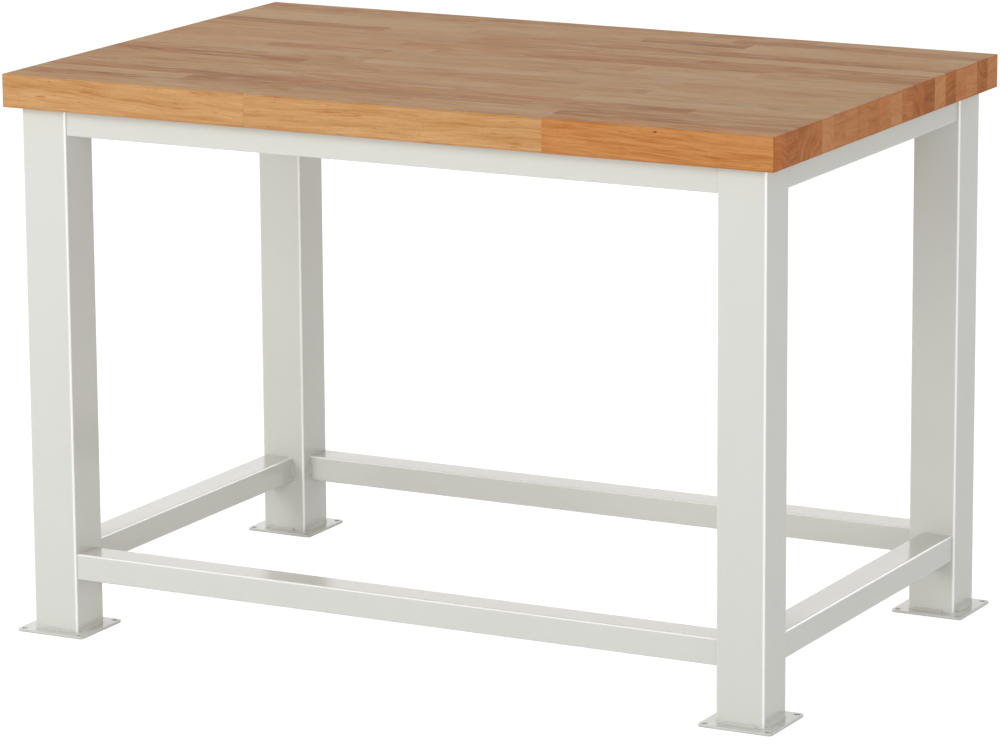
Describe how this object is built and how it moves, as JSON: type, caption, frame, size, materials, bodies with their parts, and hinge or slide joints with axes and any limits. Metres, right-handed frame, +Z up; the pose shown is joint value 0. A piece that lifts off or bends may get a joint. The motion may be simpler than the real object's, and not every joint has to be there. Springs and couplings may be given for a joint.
{
  "type": "heavy duty workbench",
  "caption": "Free-standing workbench: welded square tube frame with level rails and drilled base plates under a thick glued beech stave worktop.",
  "frame": {"origin": "on the floor, under the middle of the bench", "axes": "+X along the bench's length to the right, +Y to the back, +Z up; the front faces -Y"},
  "size_m": [1.25, 0.8, 0.85],
  "materials": {
    "powder_coat": "light grey powder coat, satin, finely textured",
    "beech": "planed and oiled glued beech",
    "zinc": "bright zinc plate"
  },
  "bodies": {
    "root": {"leg_front_left": "powder_coat", "leg_front_right": "powder_coat", "leg_back_left": "powder_coat", "leg_back_right": "powder_coat", "base_plate_front_left": "powder_coat", "base_plate_front_right": "powder_coat", "base_plate_back_left": "powder_coat", "base_plate_back_right": "powder_coat", "base_welds_front_left": "powder_coat", "base_welds_front_right": "powder_coat", "base_welds_back_left": "powder_coat", "base_welds_back_right": "powder_coat", "top_rail_front": "powder_coat", "top_rail_back": "powder_coat", "top_rail_left": "powder_coat", "top_rail_right": "powder_coat", "top_rail_welds_front_left": "powder_coat", "top_rail_welds_front_right": "powder_coat", "top_rail_welds_back_left": "powder_coat", "top_rail_welds_back_right": "powder_coat", "bottom_rail_front": "powder_coat", "bottom_rail_back": "powder_coat", "bottom_rail_left": "powder_coat", "bottom_rail_right": "powder_coat", "bottom_rail_welds_front_left": "powder_coat", "bottom_rail_welds_front_right": "powder_coat", "bottom_rail_welds_back_left": "powder_coat", "bottom_rail_welds_back_right": "powder_coat", "fixing_tabs_front": "powder_coat", "fixing_tabs_back": "powder_coat", "fixing_tabs_left": "powder_coat", "fixing_tabs_right": "powder_coat", "fixing_tab_welds": "powder_coat", "worktop_washers": "zinc", "worktop_screws": "zinc", "worktop_row_01": "beech", "worktop_row_02": "beech", "worktop_row_03": "beech", "worktop_row_04": "beech", "worktop_row_05": "beech", "worktop_row_06": "beech", "worktop_row_07": "beech", "worktop_row_08": "beech", "worktop_row_09": "beech", "worktop_row_10": "beech", "worktop_row_11": "beech", "worktop_row_12": "beech", "worktop_row_13": "beech", "worktop_row_14": "beech", "worktop_row_15": "beech", "worktop_row_16": "beech", "worktop_row_17": "beech", "worktop_row_18": "beech", "worktop_row_19": "beech", "worktop_row_20": "beech"}
  },
  "joints": []
}
